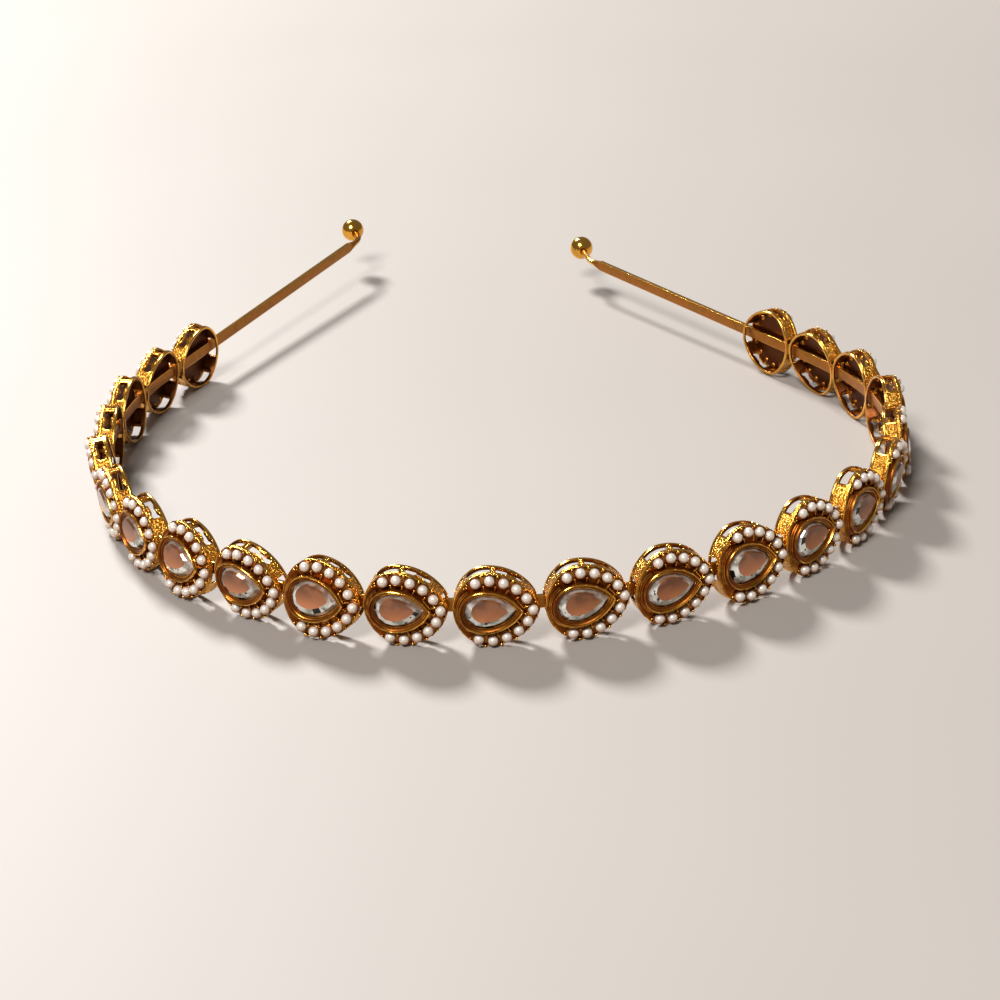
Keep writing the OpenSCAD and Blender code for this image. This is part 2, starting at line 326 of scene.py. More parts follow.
def pose(number):
    """From a setting's own frame in millimetres to its place on the band in metres."""
    lean, lift, slide, push = SITS[number - 1]
    x, y, heading = place((number - MIDDLE) * PITCH + slide)
    return (
        Matrix.Scale(MM, 4)
        @ Matrix.Translation((x, y, stand(lean, lift)))
        @ turn(heading, "Z")
        @ Matrix.Translation((0, push, 0))
        @ turn(-lean, "X")
        @ turn(90, "X")
        @ turn(lift, "Z")
        @ Matrix.Translation((-ROW_MID, 0, -STRIP_Z))
    )


# Where things are on a setting


def on_row(distance, out, height, side=1):
    """Frame on the row of pearls at a distance from its tip: x outwards, z out of the face."""
    if distance < ROW_FLANK_L:
        angle = ROW_TIP_ANGLE + distance / ROW_FLANK_R
        radius, centre = ROW_FLANK_R + out, -ROW_DROP
    else:
        angle = math.pi / 2 + (distance - ROW_FLANK_L) / SIDE_R
        radius, centre = SIDE_R + out, SIDE_CENTRE
    at = (radius * math.cos(angle), radius * math.sin(angle) + centre, height)
    spot = Matrix.Translation(at) @ Matrix.Rotation(angle, 4, "Z")
    return Matrix.Diagonal((1, side, 1, 1)) @ spot


def on_tip(out, height):
    return Matrix.Translation((ROW_TIP + out, 0, height))


def at_pearls(out, height, lower=PEARLS_A_SIDE):
    """Frames of a setting's pearls: at its tip, along its upper side, and so many on its lower side."""
    spots = [on_tip(out, height)]
    for side, count in ((1, PEARLS_A_SIDE), (-1, lower)):
        spots += [on_row(k * PEARL_STEP, out, height, side) for k in range(1, count + 1)]
    return spots


def between_pearls(out, height):
    """Frames of the ten places between pearls."""
    halves = [k - 0.5 for k in range(1, PEARLS_A_SIDE + 1)]
    return [on_row(k * PEARL_STEP, out, height, side) for side in (1, -1) for k in halves]


def row_offset(x, y):
    """How far a point lies outside the outline of the row."""
    across = abs(y)
    if x >= 0:
        return math.hypot(x, across + ROW_DROP) - ROW_FLANK_R
    angle = math.degrees(math.atan2(across - SIDE_CENTRE, x))
    if 0 < angle < BLUNT_FROM:
        return math.hypot(x, across - SIDE_CENTRE) - SIDE_R
    return math.hypot(x - BLUNT_CENTRE, across) - BLUNT_R


def wall_y(x, out):
    """Height of the row's outline, grown by out, above the axis at x."""
    if x >= 0:
        return math.sqrt((ROW_FLANK_R + out) ** 2 - x * x) - ROW_DROP
    if x > (SIDE_R + out) * math.cos(math.radians(BLUNT_FROM)):
        return math.sqrt((SIDE_R + out) ** 2 - x * x) + SIDE_CENTRE
    return math.sqrt((BLUNT_R + out) ** 2 - (x - BLUNT_CENTRE) ** 2)


# Mesh helpers


def new_metal():
    """A bmesh whose vertices carry a paint channel: red for gold over lacquer, which painted shade and
    painted reflection also lower, green for granulation.
    """
    bm = bmesh.new()
    bm.verts.layers.float_color.new("finish_and_painted_light")
    return bm


def paint(bm, verts, gold, grain=0.0):
    finish_and_painted_light = bm.verts.layers.float_color["finish_and_painted_light"]
    for vert in verts:
        vert[finish_and_painted_light] = (gold, grain, 0, 1)


def everything(bm):
    return bm.verts[:] + bm.edges[:] + bm.faces[:]


def sweep(bm, section, start, arcs, closed=True):
    """Sweep a section round arcs; its points are (out, height, gold, grain).

    An arc is (x and y of its centre, radius, swept angle, steps).
    """
    angle = math.radians(start)
    centre_x, centre_y, radius = arcs[0][:3]
    ring = []
    for out, height, gold, grain in section:
        reach = radius + out
        at = (centre_x + reach * math.cos(angle), centre_y + reach * math.sin(angle), height)
        ring.append(bm.verts.new(at))
        paint(bm, ring[-1:], gold, grain)
    pairs = list(zip(ring, ring[1:]))
    if closed:
        pairs.append((ring[-1], ring[0]))
    geom = ring + [bm.edges.new(pair) for pair in pairs]
    for centre_x, centre_y, _, degrees, steps in arcs:
        turned = bmesh.ops.spin(
            bm, geom=geom, cent=(centre_x, centre_y, 0), axis=(0, 0, 1),
            angle=math.radians(degrees), steps=steps,
        )
        geom = turned["geom_last"]


def mirror_half(bm):
    """Cut a swept half off at the axis and add its mirror image."""
    bmesh.ops.bisect_plane(
        bm, geom=everything(bm), dist=NEAR, plane_co=(0, 0, 0), plane_no=(0, -1, 0), clear_outer=True
    )
    bmesh.ops.mirror(bm, geom=everything(bm), merge_dist=NEAR, axis="Y")
    bmesh.ops.remove_doubles(bm, verts=bm.verts, dist=NEAR)


def fill_holes(bm):
    rims = [edge for edge in bm.edges if edge.is_boundary]
    bmesh.ops.holes_fill(bm, edges=rims, sides=0)


def add_ball(bm, spot, radius, gold, segments=8, rings=5):
    ball = bmesh.ops.create_uvsphere(
        bm, u_segments=segments, v_segments=rings, radius=radius, matrix=spot
    )
    paint(bm, ball["verts"], gold)


def add_bar(bm, spot, size, bevel, gold):
    """A bar with bevelled edges, centred on a frame."""
    length, width, height = size
    bar = bmesh.ops.create_cube(bm, size=1, matrix=spot @ Matrix.Diagonal((length, width, height, 1)))
    edges = list({edge for vert in bar["verts"] for edge in vert.link_edges})
    rounded = bmesh.ops.bevel(
        bm, geom=edges, offset=bevel, segments=1, profile=0.5, affect="EDGES", material=-1
    )
    paint(bm, rounded["verts"], gold)


def add_ring(bm, spot, radius, thickness, gold, segments=12, sides=6):
    """A round ring about the z axis of a frame."""
    circle = bmesh.ops.create_circle(
        bm, segments=sides, radius=thickness,
        matrix=Matrix.Translation((radius, 0, 0)) @ turn(90, "X"),
    )
    verts = circle["verts"]
    edges = list({edge for vert in verts for edge in vert.link_edges})
    first = len(bm.verts) - len(verts)
    bmesh.ops.spin(
        bm, geom=verts + edges, cent=(0, 0, 0), axis=(0, 0, 1), angle=2 * math.pi,
        steps=segments, use_merge=True,
    )
    bm.verts.ensure_lookup_table()
    ring = bm.verts[first:]
    bmesh.ops.transform(bm, matrix=spot, verts=ring)
    paint(bm, ring, gold)


def finished_mesh(bm, name, sharp=38):
    """Mesh of a bmesh with outward faces, smooth but for edges sharper than an angle."""
    bmesh.ops.recalc_face_normals(bm, faces=bm.faces)
    for face in bm.faces:
        face.smooth = True
    mesh = bpy.data.meshes.new(name)
    bm.to_mesh(mesh)
    bm.free()
    mesh.set_sharp_from_angle(angle=math.radians(sharp))
    return mesh


def add_piece(name, mesh, slot, *nodes):
    """Add a finished piece that stands for nodes of the frame."""
    piece = bpy.data.objects.new(name, mesh)
    bpy.context.scene.collection.objects.link(piece)
    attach(piece, "root")
    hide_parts(*nodes)
    return piece


# Finishes


class Nodes:
    """Short way to write a material's nodes."""

    def __init__(self, name):
        self.material = bpy.data.materials.new(name)
        self.material.use_nodes = True
        self.tree = self.material.node_tree
        self.surface = self.tree.nodes["Principled BSDF"]

    def add(self, kind, inputs=(), **values):
        node = self.tree.nodes.new("ShaderNode" + kind)
        for key, value in values.items():
            setattr(node, key, value)
        for socket, value in dict(inputs).items():
            self.put(node.inputs[socket], value)
        return node

    def put(self, socket, value):
        if isinstance(value, bpy.types.NodeSocket):
            self.tree.links.new(value, socket)
        else:
            socket.default_value = value

    def set(self, **inputs):
        for name, value in inputs.items():
            self.put(self.surface.inputs[name.replace("_", " ")], value)

    def place(self):
        return self.add("TexCoord").outputs["Object"]

    def attribute(self, name):
        return self.add("Attribute", attribute_name=name).outputs["Color"]

    def channels(self, colour):
        return self.add("SeparateColor", {"Color": colour}).outputs

    def noise(self, scale, detail=2.0, vector=None):
        inputs = {"Vector": vector or self.place(), "Scale": scale, "Detail": detail}
        return self.add("TexNoise", inputs).outputs["Fac"]

    def math(self, operation, first, second):
        node = self.add("Math", {0: first, 1: second}, operation=operation)
        return node.outputs["Value"]

    def band(self, value, low, high, to_low=0.0, to_high=1.0):
        """Smooth step of a value from low to high."""
        inputs = {"Value": value, 1: low, 2: high, 3: to_low, 4: to_high}
        return self.add("MapRange", inputs, interpolation_type="SMOOTHSTEP").outputs["Result"]

    def mix(self, factor, first, second):
        node = self.add("Mix", {"Factor": factor, 6: first, 7: second}, data_type="RGBA")
        return node.outputs[2]

    def bump(self, height, strength, distance):
        inputs = {"Strength": strength, "Distance": distance, "Height": height}
        return self.add("Bump", inputs).outputs["Normal"]


def opaque(colour):
    return (*colour, 1)


def scaled(colour, factor):
    return opaque([min(1, part * factor) for part in colour])


def gold_finish(name, gold, lacquer, granulation, blotch):
    """Antique gold: bright where the lacquer is worn off, brown lacquer elsewhere, and darker inside the
    setting as painted shade.
    """
    nodes = Nodes(name)
    raw, grain, _ = nodes.channels(nodes.attribute("finish_and_painted_light"))[:3]
    blotches = nodes.band(nodes.noise(BLOTCH_SCALE, 3), 0.3, 0.7, -blotch, blotch)
    stipple = nodes.noise(STIPPLE_SCALE, 2)
    pit_depth = nodes.math("MULTIPLY", grain, 0.6)
    pits = nodes.math("MULTIPLY", nodes.band(stipple, 0.45, 0.3), pit_depth)
    wear_and_shade = nodes.math("SUBTRACT", nodes.math("ADD", raw, blotches), pits)
    worn_and_lit = nodes.band(wear_and_shade, 0.15, 0.8)
    tone = nodes.band(nodes.noise(TONE_SCALE, 2), 0.35, 0.65)
    bright = nodes.mix(tone, opaque(gold), scaled(gold, 0.8))
    dark = nodes.mix(tone, opaque(lacquer), scaled(lacquer, 1.7))
    # Painted shade: where the red channel is near 0, inside the setting, the lacquer is darker still
    dark = nodes.mix(nodes.band(raw, 0.01, 0.09), scaled(lacquer, 0.5), dark)
    nodes.set(
        Base_Color=nodes.mix(worn_and_lit, dark, bright),
        Metallic=nodes.band(worn_and_lit, 0, 1, 0.85, 1.0),
        Roughness=nodes.band(worn_and_lit, 0, 1, 0.35, 0.16),
    )
    grains = nodes.math("MULTIPLY", stipple, nodes.band(grain, 0, 1, 0.08, granulation))
    nodes.set(Normal=nodes.bump(grains, 1.0, GRAIN_DEPTH))
    return nodes.material


def pearl_finish(colour):
    """Pearl: cream above, and warmer below, a painted reflection of the lacquer with painted shade."""
    nodes = Nodes("pearl")
    up = nodes.channels(nodes.attribute("finish_and_painted_light"))[0]
    warm = (colour[0] * 0.62, colour[1] * 0.4, colour[2] * 0.27)
    nodes.set(
        Base_Color=nodes.mix(nodes.band(up, 0.12, 0.8), opaque(warm), opaque(colour)),
        Metallic=0.3,
        Roughness=0.3,
        Coat_Weight=1.0,
        Coat_Roughness=0.06,
    )
    return nodes.material


def stone_finish(foil_and_reflection, silver):
    """Clear stone over foil: a warm table, tinted with a painted reflection of brown surroundings, that
    darkens upwards as painted shade, and silver edges, bright below as a painted reflection, with black
    flecks.
    """
    nodes = Nodes("stone")
    bright, black, up = nodes.channels(nodes.attribute("finish_and_painted_light"))[:3]
    # Painted shade: the table darkens upwards
    body = nodes.mix(nodes.band(up, 0.2, 0.85), scaled(foil_and_reflection, 1.7), scaled(foil_and_reflection, 0.45))
    streaks = nodes.band(nodes.noise(STREAK_SCALE, 1), 0.5, 0.62, 0, 0.55)
    body = nodes.mix(streaks, body, scaled(foil_and_reflection, 1.15))
    flecks = nodes.band(nodes.noise(FLECK_SCALE, 1), 0.63, 0.68)
    flecks = nodes.math("MULTIPLY", flecks, bright)
    shade = nodes.band(nodes.noise(SHADE_SCALE, 1), 0.42, 0.6)
    edge = nodes.mix(shade, opaque(silver), EDGE_SHADE)
    body = nodes.mix(bright, body, edge)
    nodes.set(
        Base_Color=nodes.mix(nodes.math("MAXIMUM", flecks, black), body, FLECK_COLOUR),
        Metallic=nodes.band(bright, 0, 1, 0.25, 0.4),
        Roughness=0.12,
        Coat_Weight=0.4,
        Coat_Roughness=0.02,
    )
    return nodes.material


def floor_finish(colour):
    nodes = Nodes("floor")
    cloud = nodes.band(nodes.noise(CLOUD_SCALE, 2), 0.3, 0.7)
    nodes.set(Base_Color=nodes.mix(cloud, opaque(colour), scaled(colour, 1.03)), Roughness=0.6)
    return nodes.material


# Pieces of a casting

# Section of rim, wall and back rim: out from the row of pearls, height, gold and granulation
GALLERY = (
    (-1.75, FLOOR_TOP, 0.2, 0), (0.7, FLOOR_TOP, 0.2, 0), (0.76, -0.6, 0.2, 0),
    (RIM_IN, -0.46, 0.4, 0), (0.8, -0.38, 0.9, 0), (0.84, RIM_TOP, 1, 0), (0.89, -0.37, 1, 0),
    (RIM_OUT, -0.43, 0.9, 0.4), (RIM_OUT, -0.84, 0.75, 0.6), (0.9, -0.92, 0.8, 0.3),
    (0.84, RIM_LOW, 0.5, 0), (WALL_OUT, -0.98, 0.5, 0.6), (WALL_OUT, -1.08, 0.8, 1),
    (WALL_OUT, -2.6, 0.8, 1), (0.82, -2.7, 0.6, 0.5), (0.86, -2.77, 1, 0),
    (BACK_OUT, -2.88, 1, 0), (0.86, -3.02, 1, 0), (0.78, -DEPTH, 0.75, 0), (0.55, -DEPTH, 0.65, 0),
    # The points with gold 0, on the inner wall and under the channel floor, are painted shade
    (0.45, -3.04, 0.5, 0), (WALL_IN, -2.96, 0, 0), (WALL_IN, -1.18, 0, 0),
    (0.35, FLOOR_LOW, 0, 0), (-1.75, FLOOR_LOW, 0, 0),
)

# Section of the bezel: out from its own pear, height, gold and granulation
BEZEL = (
    (0.03, -0.75, 0.1, 0), (0.01, 0.1, 0.15, 0), (0, 0.36, 0.5, 0), (-0.04, 0.48, 1, 0),
    (-0.12, 0.55, 1, 0), (-0.2, 0.52, 1, 0), (-0.25, 0.42, 0.6, 0), (-0.3, 0.27, 0.1, 0),
    (-0.37, 0.17, 0.05, 0), (-0.43, 0.15, 0.55, 0), (-0.5, 0.08, 0.05, 0), (-0.6, 0.05, 0.05, 0),
    (-0.68, 0.08, 0.3, 0), (-0.76, 0.1, 0.6, 0), (-0.8, 0.02, 0.3, 0), (-0.8, -0.75, 0.05, 0),
)


def row_arcs(start):
    """Arcs of the upper half of the row's pear from a start angle."""
    return (
        (0, -ROW_DROP, ROW_FLANK_R, 90 - start, 16),
        (0, SIDE_CENTRE, SIDE_R, BLUNT_FROM - 90, 5),
        (BLUNT_CENTRE, 0, BLUNT_R, 180 - BLUNT_FROM, 6),
    )


def flatten_tip(bm):
    """Cut the gallery's tip flat, outside and inside."""
    for vert in bm.verts:
        if vert.co.z < RIM_LOW - NEAR:
            across = abs(vert.co.y) + ROW_DROP
            outside = math.hypot(vert.co.x, across) - ROW_FLANK_R > (WALL_IN + WALL_OUT) / 2
            limit = BACK_TIP if outside else BACK_TIP - WALL_OUT + WALL_IN
            vert.co.x = min(vert.co.x, limit)


def stepped(corners, steps):
    """Points along a path of corners, so many steps to each stretch, without its last corner."""
    points = []
    for (from_x, from_z), (to_x, to_z), count in zip(corners, corners[1:], steps):
        for k in range(count):
            share = k / count
            points.append((from_x + (to_x - from_x) * share, from_z + (to_z - from_z) * share))
    return points


def square_window(grow):
    """Outline of the window beside the round end."""
    half = WINDOW_W / 2 + grow
    low, high = POST_FROM - ROUND_WINDOW - grow, POST_FROM + grow
    corners = [(low, -half), (high, -half), (high, half), (low, half), (low, -half)]
    return [(x, z + WINDOW_Z) for x, z in stepped(corners, (10, 3, 10, 3))]


def lobed_window(grow):
    """Outline of the window beside the tip: square, then a waist, then two lobes."""
    lobe_r = WINDOW_W * 0.32
    waist = WINDOW_W * 0.3 + grow
    half = WINDOW_W / 2 + grow
    square_to = POST_TO + TIP_WINDOW * 0.42 + grow
    lobe_x = POST_TO + TIP_WINDOW - lobe_r
    lobe_z = WINDOW_W / 2 - lobe_r
    reach = lobe_r + grow
    first = 180 + math.degrees(math.asin((waist - lobe_z) / reach))
    last = 360 + math.degrees(math.asin(lobe_z / reach))
    lobe = []
    for k in range(9):
        angle = math.radians(first + (last - first) * k / 8)
        lobe.append((lobe_x + reach * math.cos(angle), -lobe_z + reach * math.sin(angle)))
    left = POST_TO - grow
    corners = [(left, 0), (left, -half), (square_to, -half), (square_to, -waist), lobe[0]]
    lower = stepped(corners, (2, 5, 1, 2)) + lobe
    upper = [(x, -z) for x, z in reversed(lower[1:-1])]
    return [(x, z + WINDOW_Z) for x, z in lower + upper]


def outline_loop(bm, points, y):
    """A closed loop of edges through (x, z) points."""
    verts = [bm.verts.new((x, y, z)) for x, z in points]
    return [bm.edges.new(pair) for pair in zip(verts, verts[1:] + verts[:1])]


def add_window_frame(bm, outline):
    """Raised border round a window, which follows the curve of the wall on both sides."""
    frame_bm = new_metal()
    loops = outline_loop(frame_bm, outline(0), 0) + outline_loop(frame_bm, outline(FRAME_W), 0)
    bridged = bmesh.ops.bridge_loops(frame_bm, edges=loops)
    raised = bmesh.ops.extrude_face_region(frame_bm, geom=bridged["faces"])
    top = [item for item in raised["geom"] if isinstance(item, bmesh.types.BMVert)]
    bmesh.ops.translate(frame_bm, vec=(0, FRAME_PROUD + FRAME_SUNK, 0), verts=top)
    bmesh.ops.recalc_face_normals(frame_bm, faces=frame_bm.faces)
    rims = [
        edge for edge in frame_bm.edges
        if edge.verts[0] in top and edge.verts[1] in top and edge.calc_face_angle() > 1
    ]
    bmesh.ops.bevel(
        frame_bm, geom=rims, offset=FRAME_BEVEL, segments=1, profile=0.5, affect="EDGES", material=-1
    )
    for vert in frame_bm.verts:
        vert.co.y += wall_y(vert.co.x, WALL_OUT) - FRAME_SUNK
    bmesh.ops.mirror(frame_bm, geom=everything(frame_bm), merge_dist=0, axis="Y")
    paint(frame_bm, frame_bm.verts, 1)
    append(bm, frame_bm)


def append(bm, part_bm):
    """Move a bmesh into another one."""
    mesh = bpy.data.meshes.new("part")
    bmesh.ops.recalc_face_normals(part_bm, faces=part_bm.faces)
    part_bm.to_mesh(mesh)
    part_bm.free()
    bm.from_mesh(mesh)
    bpy.data.meshes.remove(mesh)


def window_cutter():
    """Closed shapes that cut the windows, the slots and the seats of the pearls out of the gallery."""
    bm = new_metal()
    near, far = ROW_HALF / 2, ROW_HALF * 2
    for outline in (square_window(0), lobed_window(0)):
        for side in (1, -1):
            loop = outline_loop(bm, outline, side * near)
            face = bmesh.ops.contextual_create(bm, geom=loop)["faces"]
            raised = bmesh.ops.extrude_face_region(bm, geom=face)
            top = [item for item in raised["geom"] if isinstance(item, bmesh.types.BMVert)]
            bmesh.ops.translate(bm, vec=(0, side * (far - near), 0), verts=top)
    slot = Matrix.Translation((0, 0, (SLOT_LOW + SLOT_TOP) / 2))
    size = Matrix.Diagonal((4 * ROW_TIP, SLOT_H, SLOT_TOP - SLOT_LOW, 1))
    bmesh.ops.create_cube(bm, size=1, matrix=slot @ size)
    for spot in at_pearls(0, SEAT_LOW / 2):
        bmesh.ops.create_cone(
            bm, cap_ends=True, segments=16, radius1=SEAT_R, radius2=SEAT_R, depth=-SEAT_LOW,
            matrix=spot,
        )
    paint(bm, bm.verts, 0.2)
    return finished_mesh(bm, "window_cutter")


def cut(body_mesh, cutter_mesh):
    """The mesh that is left when a cutter is taken from a body."""
    body = bpy.data.objects.new("cut_body", body_mesh)
    cutter = bpy.data.objects.new("cut_tool", cutter_mesh)
    for item in (body, cutter):
        bpy.context.scene.collection.objects.link(item)
    modifier = body.modifiers.new("cut", "BOOLEAN")
    modifier.operation = "DIFFERENCE"
    modifier.solver = "EXACT"
    modifier.object = cutter
    graph = bpy.context.evaluated_depsgraph_get()
    result = bpy.data.meshes.new_from_object(body.evaluated_get(graph))
    for item in (body, cutter):
        mesh = item.data
        bpy.data.objects.remove(item)
        bpy.data.meshes.remove(mesh)
    return result


def paint_cuts(mesh):
    """Paint the cut gallery again: darkest painted shade inside, and lacquer in the channel of the
    pearls.
    """
    inside_low = SLOT_LOW - 0.2
    mid_wall = (WALL_IN + WALL_OUT) / 2
    channel_side = RIM_IN - 0.05
    for vert, finish_and_painted_light in zip(mesh.vertices, mesh.attributes["finish_and_painted_light"].data):
        x, y, z = vert.co
        out = row_offset(x, y)
        if inside_low < z < FLOOR_LOW + NEAR and out < mid_wall:
            finish_and_painted_light.color = (0, 0, 0, 1)
        elif FLOOR_LOW + NEAR < z < FLOOR_TOP + NEAR and out < channel_side:
            finish_and_painted_light.color = (0.2, 0, 0, 1)


def gallery_mesh():
    """Rim, channel floor, wall and back rim, with windows and slots cut through."""
    bm = new_metal()
    start = 12
    sweep(bm, GALLERY, start, row_arcs(start), closed=False)
    mirror_half(bm)
    fill_holes(bm)
    flatten_tip(bm)
    finish_and_painted_light = bm.verts.layers.float_color["finish_and_painted_light"]
    # Painted shade: the rim's lower half keeps less gold
    for vert in bm.verts:
        if vert.co.y < 0 and vert.co.z > RIM_LOW + NEAR:
            vert[finish_and_painted_light] = (vert[finish_and_painted_light][0] * LOWER_RIM_SHADE_GOLD, vert[finish_and_painted_light][1], 0, 1)
    mesh = cut(finished_mesh(bm, "gallery"), window_cutter())
    paint_cuts(mesh)
    return mesh


def add_bezel(bm):
    """Ring of the bezel: a bright ridge and the stepped brown slope down to the stone."""
    start = 25
    fade_from = -3.4
    fade_to = -1.6
    bezel_bm = new_metal()
    arcs = (
        (BEZEL_X, -BEZEL_DROP, BEZEL_HALF + BEZEL_DROP, 90 - start, 12),
        (BEZEL_X, 0, BEZEL_HALF, 90, 12),
    )
    sweep(bezel_bm, BEZEL, start, arcs)
    mirror_half(bezel_bm)
    finish_and_painted_light = bezel_bm.verts.layers.float_color["finish_and_painted_light"]
    for vert in bezel_bm.verts:
        share = (vert.co.x - fade_from) / (fade_to - fade_from)
        gold = vert[finish_and_painted_light][0] * (0.25 + 0.75 * min(1, max(0, share)))
        vert[finish_and_painted_light] = (gold, 0, 0, 1)
    append(bm, bezel_bm)


# Section of the hollow floor on the blunt side: out from the row of pearls, height, gold and granulation
BLUNT_FLOOR = (
    (0.78, -0.7, 0.2, 0), (0.78, -0.4, 0.3, 0), (0.68, -0.4, 0.3, 0), (0.62, -0.34, 0.55, 0),
    (0.56, -0.42, 0.15, 0), (0.44, -0.45, 0.15, 0), (0.38, -0.39, 0.5, 0), (0.32, -0.47, 0.12, 0),
    (0.18, -0.5, 0.12, 0), (0.12, -0.44, 0.45, 0), (0.06, -0.52, 0.12, 0), (-0.7, -0.58, 0.1, 0),
    (-0.7, -0.7, 0.1, 0),
)


def add_blunt_ridges(bm):
    """Hollow floor with fine ridges round the blunt side, between the bezel and the rim."""
    start = 134
    floor_bm = new_metal()
    sweep(floor_bm, BLUNT_FLOOR, start, ((BLUNT_CENTRE, 0, BLUNT_R, 2 * (180 - start), 18),))
    fill_holes(floor_bm)
    append(bm, floor_bm)
    for out, radius, height in ((0.14, 0.13, -0.05), (0.34, 0.12, -0.25)):
        ridge_bm = new_metal()
        section = []
        for k in range(8):
            angle = math.radians(45 * k)
            gold = 0.5 if k == 2 else 0.12
            section.append((out + radius * math.cos(angle), height + radius * math.sin(angle), gold, 0))
        start = 122
        sweep(ridge_bm, section, start, ((BEZEL_X, 0, BEZEL_HALF, 2 * (180 - start), 16),))
        fill_holes(ridge_bm)
        append(bm, ridge_bm)


def add_claws(bm):
    """Claws between the pearls on the bezel's side, and the longer one at its tip."""
    for spot in between_pearls(-1.05, -0.32):
        add_bar(bm, spot, CLAW_SIZE, CLAW_BEVEL, CLAW_GOLD)
    for spot in between_pearls(-0.74, -0.1):
        add_ball(bm, spot, CLAW_BALL_R, 1)
    tip_claw = on_row(PEARL_STEP / 2, -0.62, 0)
    add_bar(bm, tip_claw, TIP_CLAW_SIZE, CLAW_BEVEL, 1)
    rail = on_row(PEARL_STEP, -1.08, 0.12)
    add_bar(bm, rail, RAIL_SIZE, CLAW_BEVEL, 1)


def add_saddles(bm):
    """Lacquer that fills the channel between neighbouring pearls."""
    for spot in between_pearls(0, -0.52):
        add_ball(bm, spot @ Matrix.Diagonal((0.8, 0.26, 0.3, 1)), 1, SADDLE_GOLD, 10, 6)


def add_grains(bm):
    """Grains on the rim between the pearls, and small ones where the row begins."""
    for spot in between_pearls(GRAIN_OUT, GRAIN_Z - GRAIN_R):
        add_ball(bm, spot, GRAIN_R, 0.95)
    row_end = PEARLS_A_SIDE * PEARL_STEP
    for side, along, out in ((1, 0.95, 0.6), (1, 1.25, 0.36), (1, 1.5, 0.62), (-1, 0.95, 0.58)):
        add_ball(bm, on_row(row_end + along, out, -0.25, side), CLAW_BALL_R, 1)


def add_cups(bm):
    """Lacquer cup round each pearl, and the stud on the back below it."""
    for spot in at_pearls(0, -0.38):
        add_ring(bm, spot, CUP_R, CUP_THICKNESS, CUP_GOLD)
    for spot in at_pearls(-0.15, FLOOR_LOW):
        add_ball(bm, spot @ Matrix.Diagonal((1, 1, 0.6, 1)), STUD_R, STUD_GOLD, 10, 6)


def add_tip_lines(bm):
    """Raised lines on the rim beside the tip."""
    for height in LINE_HEIGHTS:
        for side in (1, -1):
            line_bm = new_metal()
            section = []
            for degrees in range(0, 360, 60):
                angle = math.radians(degrees)
                out = RIM_OUT + LINE_R * math.cos(angle)
                section.append((out, height + LINE_R * math.sin(angle), 1, 0))
            sweep(line_bm, section, 16, ((0, -ROW_DROP, ROW_FLANK_R, 22, 6),))
            fill_holes(line_bm)
            bmesh.ops.scale(line_bm, vec=(1, side, 1), verts=line_bm.verts)
            append(bm, line_bm)


def casting_mesh():
    """One setting in its own frame, in millimetres."""
    bm = bmesh.new()
    gallery = gallery_mesh()
    bm.from_mesh(gallery)
    bpy.data.meshes.remove(gallery)
    add_bezel(bm)
    add_blunt_ridges(bm)
    for outline in (square_window, lobed_window):
        add_window_frame(bm, outline)
    add_cups(bm)
    add_saddles(bm)
    add_claws(bm)
    add_grains(bm)
    add_tip_lines(bm)
    return finished_mesh(bm, "casting")


def stone_outline():
    """Corners of the stone's outline, from its tip all round."""
    drop = flank_drop(STONE_HALF, STONE_TIP)
    flank_r = STONE_HALF + drop
    tip_angle = math.degrees(math.asin(drop / flank_r))
    upper = [(STONE_TIP, 0)]
    for k in range(1, 5):
        angle = math.radians(tip_angle + (90 - tip_angle) * k / 4)
        upper.append((flank_r * math.cos(angle), flank_r * math.sin(angle) - drop))
    for k in range(1, 3):
        angle = math.radians(90 + 30 * k)
        upper.append((STONE_HALF * math.cos(angle), STONE_HALF * math.sin(angle)))
    return upper + [(-STONE_HALF, 0)] + [(x, -y) for x, y in reversed(upper[1:])]


def stone_mesh(number):
    """Flat-backed stone with two rows of crown facets, in a setting's frame."""
    rng = random.Random(number)
    bm = bmesh.new()
    finish_and_painted_light = bm.loops.layers.float_color.new("finish_and_painted_light")
    verts = [bm.verts.new((x + BEZEL_X, y, GIRDLE_LOW)) for x, y in stone_outline()]
    edges = [bm.edges.new(pair) for pair in zip(verts, verts[1:] + verts[:1])]
    base = bmesh.ops.contextual_create(bm, geom=edges)["faces"]
    raised = bmesh.ops.extrude_face_region(bm, geom=base)["geom"]
    top_verts = [item for item in raised if isinstance(item, bmesh.types.BMVert)]
    bmesh.ops.translate(bm, vec=(0, 0, GIRDLE_TOP - GIRDLE_LOW), verts=top_verts)
    bmesh.ops.recalc_face_normals(bm, faces=bm.faces)
    table = [item for item in raised if isinstance(item, bmesh.types.BMFace)]
    looks = {}
    for inset, rise, shift in ((CROWN_INSET, CROWN_RISE, 0.12), (TABLE_INSET, TABLE_RISE, 0.3)):
        facets = bmesh.ops.inset_region(
            bm, faces=table, thickness=inset, depth=rise, use_even_offset=True
        )["faces"]
        bmesh.ops.translate(bm, vec=(0, shift, 0), verts=table[0].verts)
        for face in facets:
            middle = face.calc_center_median()
            plain = silver_share(middle.x, middle.y) < 1
            looks[face] = (inset == CROWN_INSET, 0.0 if plain or rng.random() > BLACK_SHARE else 1.0)
    for face in bm.faces:
        line, black = looks.get(face, (False, 0))
        for loop in face.loops:
            at = loop.vert.co
            bright = silver_share(at.x, at.y) if face in looks else 0
            if line:
                bright = max(bright, 0.35)
            # Third channel: height across the stone, for the table's painted shade upwards
            loop[finish_and_painted_light] = (bright, black, 0.5 + at.y / (2 * STONE_HALF), 1)
    mesh = bpy.data.meshes.new("stone")
    bm.to_mesh(mesh)
    bm.free()
    return mesh


